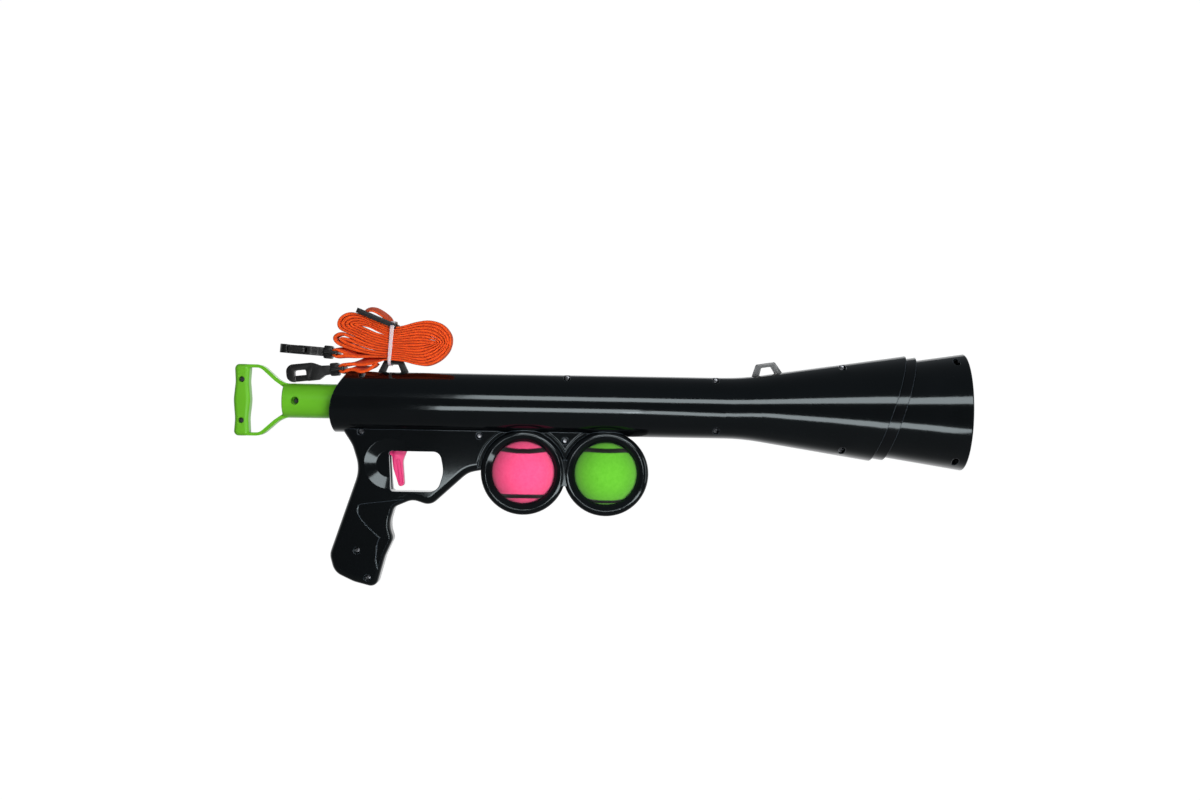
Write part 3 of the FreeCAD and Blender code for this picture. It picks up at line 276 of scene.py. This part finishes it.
def linear(code):
    """The linear colour of an sRGB hex code."""
    parts = [int(code[i:i + 2], 16) / 255 for i in (0, 2, 4)]
    return tuple(p / 12.92 if p <= 0.04045 else ((p + 0.055) / 1.055) ** 2.4 for p in parts) + (1,)


def feed(tree, value, socket):
    """Links a socket to the input, or sets the input to a value."""
    if isinstance(value, bpy.types.NodeSocket):
        tree.links.new(value, socket)
    else:
        socket.default_value = value


def add(tree, kind, first=(), settings=(), **inputs):
    """Adds a node with its settings. Its first inputs are fed in order, and others by name."""
    node = tree.nodes.new(kind)
    for name, value in settings:
        setattr(node, name, value)
    for i, value in enumerate(first):
        feed(tree, value, node.inputs[i])
    for name, value in inputs.items():
        feed(tree, value, node.inputs[name.replace("_", " ")])
    return node


def new_finish(name, **surface_values):
    """A Principled material, its tree, and the piece's own coordinates in millimetres."""
    material = bpy.data.materials.new(name)
    material.use_nodes = True
    tree = material.node_tree
    shader = tree.nodes["Principled BSDF"]
    for key, value in surface_values.items():
        shader.inputs[key.replace("_", " ")].default_value = value
    place = add(tree, "ShaderNodeTexCoord").outputs["Object"]
    scaled = add(tree, "ShaderNodeVectorMath", settings=[("operation", "SCALE")],
                 Vector=place, Scale=1000.0).outputs[0]
    return material, tree, shader, scaled


def noise(tree, place, size_mm, detail=2.0, roughness=0.5):
    """Noise with features about size_mm across."""
    return add(tree, "ShaderNodeTexNoise", Vector=place, Scale=1.0 / size_mm, Detail=detail,
               Roughness=roughness).outputs["Fac"]


def between(tree, factor, low, high):
    """A number or colour that goes from low to high with the factor. A colour's low end may be a
    socket."""
    if isinstance(high, tuple):
        mix = add(tree, "ShaderNodeMix", settings=[("data_type", "RGBA")])
        ends, result = (6, 7), mix.outputs[2]
    else:
        mix = add(tree, "ShaderNodeMix", settings=[("data_type", "FLOAT")])
        ends, result = (2, 3), mix.outputs[0]
    feed(tree, factor, mix.inputs[0])
    for end, value in zip(ends, (low, high)):
        feed(tree, value, mix.inputs[end])
    return result


def rounded_normal(tree, radius):
    """The surface's normal, with edges rounded by radius millimetres."""
    return add(tree, "ShaderNodeBevel", settings=[("samples", 6)], Radius=radius * MM).outputs[0]


def raise_bumps(tree, shader, *layers, edge=0.0):
    """Stacks bump layers, each (height socket, depth in millimetres, strength), on the piece's own
    surface, or on one whose edges are rounded by edge millimetres."""
    normal = rounded_normal(tree, edge) if edge else None
    for height, depth, strength in layers:
        bump = add(tree, "ShaderNodeBump", Height=height, Distance=depth * MM, Strength=strength)
        if normal:
            tree.links.new(normal, bump.inputs["Normal"])
        normal = bump.outputs[0]
    tree.links.new(normal, shader.inputs["Normal"])


def moulded_abs(name, dark, light, roughness=0.1, edge=0.0, painted_edge_highlight="3C444C"):
    """Injection-moulded ABS: glossy, with slow flow waves that bend reflections a little, an
    orange-peel skin about a millimetre across, and edges rounded by edge millimetres, where a paler
    colour is painted on the edges as a painted highlight."""
    material, tree, shader, place = new_finish(name, IOR=1.5, Specular_IOR_Level=0.3,
                                               Specular_Tint=(0.84, 0.96, 1.0, 1))
    flow = noise(tree, place, 26.0)
    skin = noise(tree, place, 1.3, 3.0)
    colour = between(tree, flow, linear(dark), linear(light))
    # The edges' paler colour is a painted highlight, laid where the rounded normal turns away from the
    # true one.
    if edge:
        true = add(tree, "ShaderNodeNewGeometry").outputs["Normal"]
        same = add(tree, "ShaderNodeVectorMath", (rounded_normal(tree, edge), true),
                   [("operation", "DOT_PRODUCT")]).outputs["Value"]
        turned = add(tree, "ShaderNodeMapRange", settings=[("interpolation_type", "SMOOTHSTEP")],
                     Value=same, From_Min=0.985, From_Max=0.85).outputs[0]
        colour = between(tree, turned, colour, linear(painted_edge_highlight))
    tree.links.new(colour, shader.inputs["Base Color"])
    tree.links.new(between(tree, skin, roughness - 0.03, roughness + 0.04), shader.inputs["Roughness"])
    raise_bumps(tree, shader, (flow, 0.5, 0.2), (skin, 0.02, 0.15), edge=edge)
    return material


def satin_acetal(name, dark, light, roughness=0.38):
    """Moulded acetal: satin, with the fine grain of a spark-eroded mould."""
    material, tree, shader, place = new_finish(name, IOR=1.48)
    grain = noise(tree, place, 0.45, 3.0, 0.6)
    patch = noise(tree, place, 9.0)
    tree.links.new(between(tree, patch, linear(dark), linear(light)), shader.inputs["Base Color"])
    tree.links.new(between(tree, grain, roughness - 0.06, roughness + 0.08), shader.inputs["Roughness"])
    raise_bumps(tree, shader, (grain, 0.05, 0.4))
    return material


def needled_felt(name, dark, light, seam):
    """Needled wool and nylon felt: short fibres that scatter light at the edges, and a bare rubber
    seam that the seam attribute marks."""
    material, tree, shader, place = new_finish(name, Roughness=0.95, Sheen_Weight=0.12,
                                               Sheen_Roughness=0.5, Specular_IOR_Level=0.2)
    fibre = noise(tree, place, 0.55, 6.0, 0.75)
    tuft = noise(tree, place, 3.2, 3.0, 0.6)
    mark = add(tree, "ShaderNodeAttribute", settings=[("attribute_name", "seam")]).outputs["Fac"]
    colour = between(tree, tuft, linear(dark), linear(light))
    tree.links.new(between(tree, mark, colour, linear(seam)), shader.inputs["Base Color"])
    raise_bumps(tree, shader, (tuft, 0.5, 0.35), (fibre, 0.35, 0.7))
    return material


def woven_webbing(name, dark, light):
    """Flat-woven polyester webbing: 2.9 ribs a millimetre along it and 2.3 yarns a millimetre across
    it, from the piece's UV map in millimetres. A wave texture makes 20 radians a unit."""
    material, tree, shader, place = new_finish(name, Roughness=0.78, Specular_IOR_Level=0.25,
                                               Sheen_Weight=0.06)
    uv = add(tree, "ShaderNodeUVMap", settings=[("uv_map", "weave")]).outputs[0]
    threads = [add(tree, "ShaderNodeTexWave", settings=[("bands_direction", direction)], Vector=uv,
                   Scale=2 * math.pi / 20 * per_mm, Distortion=0.6, Detail=1.0).outputs["Fac"]
               for direction, per_mm in (("X", 2.8909), ("Y", 2.2714))]
    weave = add(tree, "ShaderNodeMath", threads, [("operation", "MULTIPLY")]).outputs[0]
    fade = noise(tree, place, 7.0, 3.0)
    # Darker between the ribs: painted shade in the weave's grooves, together with a slow random tone
    # from fade.
    painted_weave_shade_and_tone = add(tree, "ShaderNodeMath", (weave, 0.55, fade), [("operation", "MULTIPLY_ADD")]).outputs[0]
    tree.links.new(between(tree, painted_weave_shade_and_tone, linear(dark), linear(light)), shader.inputs["Base Color"])
    raise_bumps(tree, shader, (weave, 0.25, 0.8), (noise(tree, place, 0.35, 3.0), 0.1, 0.5))
    return material


def matt_rubber(name, dark, light):
    """Moulded rubber: matt and slightly mottled."""
    material, tree, shader, place = new_finish(name, IOR=1.52)
    grain = noise(tree, place, 0.8, 4.0)
    tree.links.new(between(tree, grain, linear(dark), linear(light)), shader.inputs["Base Color"])
    tree.links.new(between(tree, grain, 0.6, 0.8), shader.inputs["Roughness"])
    raise_bumps(tree, shader, (grain, 0.08, 0.5))
    return material


def drawn_steel(name, dark, light, roughness):
    """Drawn or turned steel with fine marks along its length."""
    material, tree, shader, place = new_finish(name, Metallic=1.0)
    marks = add(tree, "ShaderNodeMapping", Vector=place, Scale=(0.25, 2.5, 2.5)).outputs[0]
    drawn = noise(tree, marks, 0.5, 3.0)
    tree.links.new(between(tree, drawn, linear(dark), linear(light)), shader.inputs["Base Color"])
    tree.links.new(between(tree, drawn, roughness - 0.08, roughness + 0.1), shader.inputs["Roughness"])
    raise_bumps(tree, shader, (drawn, 0.01, 0.3))
    return material


def clear_nylon(name):
    """A thin natural nylon strap: milky and half see-through."""
    material, tree, shader, place = new_finish(name, Roughness=0.35, IOR=1.53, Alpha=0.72,
                                               Subsurface_Weight=0.3)
    ridge = noise(tree, place, 0.9, 2.0)
    tree.links.new(between(tree, ridge, linear("F2D2D2"), linear("FFF1EE")), shader.inputs["Base Color"])
    raise_bumps(tree, shader, (ridge, 0.1, 0.4))
    return material


# ---------------------------------------------------------------- spare balls

def seam_line(neck, nod):
    """Points on the unit sphere along x = a cos t + b cos 3t, z = a sin t - b sin 3t, y = c sin 2t,
    with z drawn in by 0.2 x^2. The line's arms are 2 * neck apart, and nod turns it about X, in
    degrees."""
    t = np.linspace(0, 2 * math.pi, 900, endpoint=False)
    a, b = (1 + neck) / 2, (1 - neck) / 2
    p = a * np.cos(t) + b * np.cos(3 * t)
    q = a * np.sin(t) - b * np.sin(3 * t)
    y = -2 * math.sqrt(a * b) * np.sin(2 * t)
    x = (p - q) * math.sqrt(0.5)
    z = (p + q) * math.sqrt(0.5) * (1 - 0.2 * x ** 2)
    c, s = math.cos(math.radians(nod)), math.sin(math.radians(nod))
    seam = np.stack([x, y * c - z * s, z * c + y * s], -1)
    return seam / np.linalg.norm(seam, axis=1)[:, None]


def seam_distance(directions, seam):
    """How far each direction on the ball is from the seam, in millimetres."""
    nearest = np.full(directions.shape[:-1], -1.0)
    for part in np.array_split(seam, 9):
        nearest = np.maximum(nearest, (directions @ part.T).max(-1))
    return np.arccos(np.clip(nearest, -1, 1)) * BALL_RADIUS


def felt_ball(name, x, felt_node, finish, neck, nod):
    """A sphere r = R - groove * exp(-(d / w)^2) + lip * exp(-((d - e) / w)^2), d being the distance
    to the seam."""
    u, v = grid(110, 220)
    theta, phi = u * math.pi, v * 2 * math.pi
    unit = np.stack([np.cos(theta), np.sin(theta) * np.cos(phi), np.sin(theta) * np.sin(phi)], -1)
    seam = seam_line(neck, nod)
    centre = np.array([x, 0, RING_Z])
    away = seam_distance(unit, seam)
    groove, lip = 0.5 * np.exp(-(away / 1.7) ** 2), 0.15 * np.exp(-((away - 3.4) / 1.6) ** 2)
    radius = BALL_RADIUS - groove - 0.3 + lip
    thing = surface(name, (unit * radius[..., None] + centre) * MM, closed_v=True)
    co = np.empty(len(thing.data.vertices) * 3)
    thing.data.vertices.foreach_get("co", co)
    co = co.reshape(-1, 3) / MM - centre
    away = seam_distance(co / np.linalg.norm(co, axis=1)[:, None], seam)
    mark = thing.data.attributes.new("seam", "FLOAT", "POINT")
    mark.data.foreach_set("value", np.clip(5.0 - away / 0.65, 0, 1).astype(np.float32))
    dress(thing, finish)
    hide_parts(felt_node)
    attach(thing, "casing")


# ---------------------------------------------------------------- strap

STRAP_WIDTH = 20.0
STRAP_STEP = 1.1
SECTION_POINTS = 28

# The hank's outermost and innermost turns in X and Z, from the waist out and back to it.
WAIST = -546.0
RIGHT_OUTER = [(WAIST, 72), (-536, 73.6), (-522, 77.6), (-510, 78.8), (-498.5, 75.4), (-491, 67),
               (-489.6, 58.5), (-492.6, 49), (-500.5, 40.6), (-511.5, 35.6), (-523, 36.2),
               (-535, 39.0), (WAIST, 40)]
RIGHT_EYE = [(WAIST, 56), (-532, 56.2), (-518, 56.9), (-508, 57.6), (-506.5, 57.5), (-508, 57.4),
             (-518, 56.7), (-532, 56.1), (WAIST, 56)]
UPPER_OUTER = [(WAIST, 72), (-557, 75.8), (-570, 80.8), (-582, 85.0), (-591, 84.8), (-597.6, 80.2),
               (-599.6, 73.4), (-596.5, 68.6), (-584, 63.2), (-566, 55.4), (WAIST, 52)]
UPPER_EYE = [(WAIST, 62), (-556, 65.2), (-562, 67.9), (-568, 70.7), (-577, 73.2), (-581.5, 73.8),
             (-577, 72.7), (-568, 68.8), (-562, 66.4), (-556, 65.0), (WAIST, 62)]
LOWER_OUTER = [(WAIST, 52), (-566, 55.2), (-584, 62.6), (-596, 67.4), (-602.6, 64.6), (-604.2, 59.4),
               (-600.5, 54.8), (-590, 50.6), (-574, 46.4), (-558, 44.2), (WAIST, 44)]
LOWER_EYE = [(WAIST, 48), (-566, 49.9), (-582, 54.9), (-592, 58.8), (-594.5, 59.1), (-592, 58.6),
             (-582, 54.7), (-566, 49.8), (WAIST, 48)]

# The hooks' bars that the strap's ends go round.
UPPER_BAR = (-599.23, 46.41)
LOWER_BAR = (-592.78, 31.62)

ADJUSTER_LOOP = [(-566, 78.2), (-571.5, 80.4), (-574.2, 84.2), (-571, 88.2), (-564.5, 88.4),
                 (-557, 84.6), (-551, 79.4), (-550.4, 75.4), (-556, 74.2)]


def nested(outer, eye, count):
    """Turns of strap nested in each other: outer * (1 - w) + eye * w at the same share of length."""
    spans = 120
    lines = []
    for line in (outer, eye):
        fine = smooth_path(line, 0.5)
        lines.append(even(fine, np.linalg.norm(np.diff(fine, axis=0), axis=1).sum() / spans))
    lines = [line[:spans + 1] for line in lines]
    return [lines[0] * (1 - w) + lines[1] * w for w in (np.arange(count) + 0.5) / count]


def round_bar(centre, first, last, radius=3.5):
    """Points round a hook's bar from one angle to another, in degrees."""
    angle = np.radians(np.linspace(first, last, 9))
    return [(centre[0] + radius * math.cos(a), centre[1] + radius * math.sin(a)) for a in angle]


def soften(values, width):
    """The values smoothed by a Hann window of width points, with the end values repeated."""
    window = np.hanning(width)
    half = width // 2
    padded = np.concatenate([np.repeat(values[:1], half), values, np.repeat(values[-1:], half)])
    return np.convolve(padded, window / window.sum(), "valid")


def hank_path():
    """The strap's middle line, hook to hook. Sixteen runs cross the waist. The right turns join
    run i to run 17 - i, the upper left turns join i to 11 - i, the lower left ones i to 25 - i, and
    the last two runs go to the hooks."""
    right = nested(RIGHT_OUTER, RIGHT_EYE, 8)
    upper = nested(UPPER_OUTER, UPPER_EYE, 5)
    lower = nested(LOWER_OUTER, LOWER_EYE, 2)
    start = [(-581, 43.2), (-590, 43.6)] + round_bar(UPPER_BAR, 275, 85) \
        + [(-592, 49.0), (-584, 46.6), (-572, 44.2), (-558, 43.3), (WAIST, 43.1)]
    finish = [(WAIST, 41.2), (-557, 41.4), (-567, 40.2), (-577, 37.6), (-586, 36.0)] \
        + round_bar(LOWER_BAR, 80, 275) \
        + [(-587, 30.6), (-581, 31.8), (-575.5, 31.0), (-569, 31.9), (-564, 34.4), (-561, 37.6)]
    pieces = [smooth_path(start, 0.5)]
    run = 15
    for turn in range(15):
        if turn % 2 == 0:
            pieces.append(right[run - 1] if run <= 8 else right[16 - run][::-1])
            run = 17 - run
        elif run <= 10:
            pieces.append(upper[run - 1] if run <= 5 else upper[10 - run][::-1])
            run = 11 - run
        else:
            pieces.append(lower[run - 11] if run <= 12 else lower[14 - run][::-1])
            run = 25 - run
    pieces.append(smooth_path(finish, 0.5))
    line = even(np.vstack(pieces), 0.5)
    return even(np.stack([soften(line[:, i], 13) for i in range(2)], -1), STRAP_STEP)


def squared(wave, power):
    """A cosine or sine whose ends are made fuller by a power below 1."""
    return np.sign(wave) * np.abs(wave) ** power


def webbing(name, line, thick, sway=0.0, roll=0.0):
    """Webbing carried along a line in the XZ plane. Its section is a flat loop, y = a cos^0.35 t
    and n = b sin^0.5 t, a and b being half its width and thickness. The thickness, and the
    section's roll about the line in degrees, may change along the line."""
    ahead = np.gradient(line, axis=0)
    ahead /= np.linalg.norm(ahead, axis=1)[:, None]
    normal = np.stack([-ahead[:, 1], ahead[:, 0]], -1)
    angle = np.linspace(0, 2 * math.pi, SECTION_POINTS, endpoint=False) + 0.05
    y = squared(np.cos(angle), 0.35) * STRAP_WIDTH / 2
    n = squared(np.sin(angle), 0.5) / 2 * np.broadcast_to(thick, len(line))[:, None]
    along = np.arange(len(line)) * np.linalg.norm(np.diff(line, axis=0), axis=1).mean()
    drift = sway * (np.sin(along / 23.0) + 0.6 * np.sin(along / 9.1 + 1) + 0.4 * np.sin(along / 4.3))
    turn = np.radians(np.broadcast_to(roll, len(line)))[:, None]
    y, n = y * np.cos(turn) - n * np.sin(turn), y * np.sin(turn) + n * np.cos(turn)
    points = np.empty((len(line), SECTION_POINTS, 3))
    points[..., 0] = line[:, :1] + normal[:, :1] * n
    points[..., 1] = y + drift[:, None]
    points[..., 2] = line[:, 1:] + normal[:, 1:] * n
    thing = surface(name, points * MM, closed_v=True, caps=True)
    lay_weave(thing, along)
    return thing, along[-1]


def room_between(line, low, high):
    """How far each point of a folded line is from its next layer, kept between low and high. Points
    less than 7 mm away along the line don't count."""
    apart = np.linalg.norm(line[:, None] - line[None], axis=-1)
    index = np.arange(len(line))
    apart[np.abs(index[:, None] - index[None]) * STRAP_STEP < 7.0] = np.inf
    return soften(np.clip(apart.min(1) * 1.04, low, high), 9)


def bulge(along, centre, half):
    """One smooth rise and fall, cos^2, that is 1 at centre and 0 from half on either side."""
    return np.cos(np.clip((along - centre) / half, -1, 1) * math.pi / 2) ** 2


def lay_weave(thing, along):
    """The UV map weave: millimetres along the strap, and across it by Y."""
    mesh = thing.data
    co = np.empty(len(mesh.vertices) * 3)
    mesh.vertices.foreach_get("co", co)
    co = co.reshape(-1, 3) / MM
    station = np.clip(np.arange(len(co)) // SECTION_POINTS, 0, len(along) - 1)
    loops = np.empty(len(mesh.loops), int)
    mesh.loops.foreach_get("vertex_index", loops)
    uv = np.stack([along[station[loops]], co[loops, 1]], -1)
    layer = mesh.uv_layers.new(name="weave")
    layer.data.foreach_set("uv", uv.astype(np.float32).ravel())


def tie_band(name):
    """A nylon band 4.6 mm wide round the hank: a loop (y, z) = (a cos^p t, b sin^p t), slanting in X
    as it goes down."""
    half_width, half_thick, power = 2.3, 0.42, 0.42
    middle_x, middle_z = -547.2, 56.3
    u, v = grid(100, 14)
    t, s = u * 2 * math.pi, v * 2 * math.pi
    across = squared(np.cos(s), 0.4) * half_width
    out = squared(np.sin(s), 0.6) * half_thick
    y = squared(np.cos(t), power) * 13.9 + out * np.cos(t)
    z = middle_z + squared(np.sin(t), power) * 21.1 + out * np.sin(t)
    x = middle_x + across * (0.8 + 0.2 * np.sin(t)) + (z - 56) * 0.07
    points = np.stack([x, y, z], -1)[:-1]
    thing = surface(name, points * MM, closed_u=True, closed_v=True)
    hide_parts("hank_tie")
    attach(thing, "casing")
    return thing


def make_strap(orange, black, nylon):
    """The folded strap, the fold at its adjuster, the adjuster and the tie."""
    path = hank_path()
    along = np.arange(len(path)) * STRAP_STEP
    roll = 22 * bulge(along, 43, 20) - 24 * bulge(along, along[-1] - 70, 22) \
        + 16 * bulge(along, along[-1] - 16, 14)
    strap, reach = webbing("webbing_strap", path, room_between(path, 1.6, 3.5), 0.3, roll)
    dress(strap, orange)
    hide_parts("strap_hank", "strap_end_upper", "strap_end_lower")
    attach(strap, "casing")
    loop, loop_reach = webbing("slider_loop", smooth_path(ADJUSTER_LOOP, 1.0), 2.2, 0.1, 12.0)
    dress(loop, orange)
    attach(loop, "casing")
    slider = copy_softened("ladder_slider", "strap_slider", "casing", 0.7)
    dress(slider, black)
    tie = tie_band("tie_band")
    dress(tie, nylon)


# ---------------------------------------------------------------- make everything

def finish_plain_nodes(green, wire):
    """Materials for the nodes that are shown as they are."""
    black = moulded_abs("black_moulded_abs", "030405", "06080A", 0.09, 1.0)
    band = moulded_abs("black_band_abs", "030304", "060709", 0.11, 1.0)
    white = satin_acetal("white_acetal", "D8D7D2", "E6E5E0")
    rubber = matt_rubber("black_rubber", "101010", "1A1A1A")
    ball_rubber = matt_rubber("grey_ball_rubber", "5A534E", "6A625C")
    finishes = (
        (black, ("right_shell", "left_shell", "muzzle_collar_right", "muzzle_collar_left")),
        (band, ("muzzle_band",)),
        (green, ("draw_tube", "handle_half_right", "handle_half_left")),
        (rubber, ("ball_grabber", "plunger_pad")),
        (white, ("plunger_head", "spring_anchor", "rear_bush", "front_bush", "sear")),
        (wire, ("anchor_pin", "trigger_pin", "sear_pin")),
        (ball_rubber, ("pink_ball_core", "green_ball_core")),
    )
    for material, names in finishes:
        for node in names:
            mesh = nodes[node].data
            mesh.materials.clear()
            mesh.materials.append(material)


def make_balls():
    pink = needled_felt("pink_needled_felt", "EE3E74", "F85C8C", "140709")
    green = needled_felt("green_needled_felt", "50A61C", "68BC34", "080F04")
    felt_ball("pink_felt_ball", RINGS["pink"], "pink_ball_felt", pink, 0.671, 2.6)
    felt_ball("green_felt_ball", RINGS["green"], "green_ball_felt", green, 0.770, 6.7)


def make_fittings(acetal, wire):
    """The trigger, the strap loops, the springs, the snap hooks and the screws."""
    pink = moulded_abs("pink_moulded_abs", "D02C6A", "DE3B78", 0.3)
    grey = satin_acetal("grey_satin_nylon", "505152", "686A6B", 0.3)
    steel = drawn_steel("blackened_steel", "56585C", "7E8084", 0.28)
    dress(copy_softened("trigger_lever", "trigger", "trigger", 0.6), pink)
    dress(copy_softened("front_loop", "front_strap_loop", "casing", 0.5), grey)
    dress(copy_softened("rear_loop", "rear_strap_loop", "casing", 0.5), acetal)
    dress(copy_coil("launch_coil", "launch_spring"), wire)
    dress(copy_coil("sear_coil", "sear_spring"), wire)
    for side in ("upper", "lower"):
        for node, body, width in (("hook", side + "_hook", 0.7), ("hook_base", "casing", 0.5),
                                  ("hook_gate", side + "_gate", 0.5)):
            piece = copy_softened("%s_snap_%s" % (side, node), "%s_%s" % (side, node), body, width)
            dress(piece, acetal)
    for node, body in (("shell_screws", "casing"), ("collar_screws", "casing"),
                       ("handle_screws", "plunger"), ("tube_screw", "plunger")):
        dress(copy_softened("pan_head_" + node, node, body, 0.9), steel)


def make_launcher():
    green = moulded_abs("green_moulded_abs", "62B41F", "72C22C", 0.3)
    wire = drawn_steel("spring_wire_steel", "9A9C9F", "C4C6C8", 0.28)
    acetal = satin_acetal("black_satin_acetal", "050606", "0B0C0D")
    orange = woven_webbing("orange_woven_webbing", "D94108", "FB5A12")
    finish_plain_nodes(green, wire)
    make_balls()
    make_fittings(acetal, wire)
    make_strap(orange, acetal, clear_nylon("milky_nylon"))


make_camera()
make_light()
make_floor()
make_launcher()
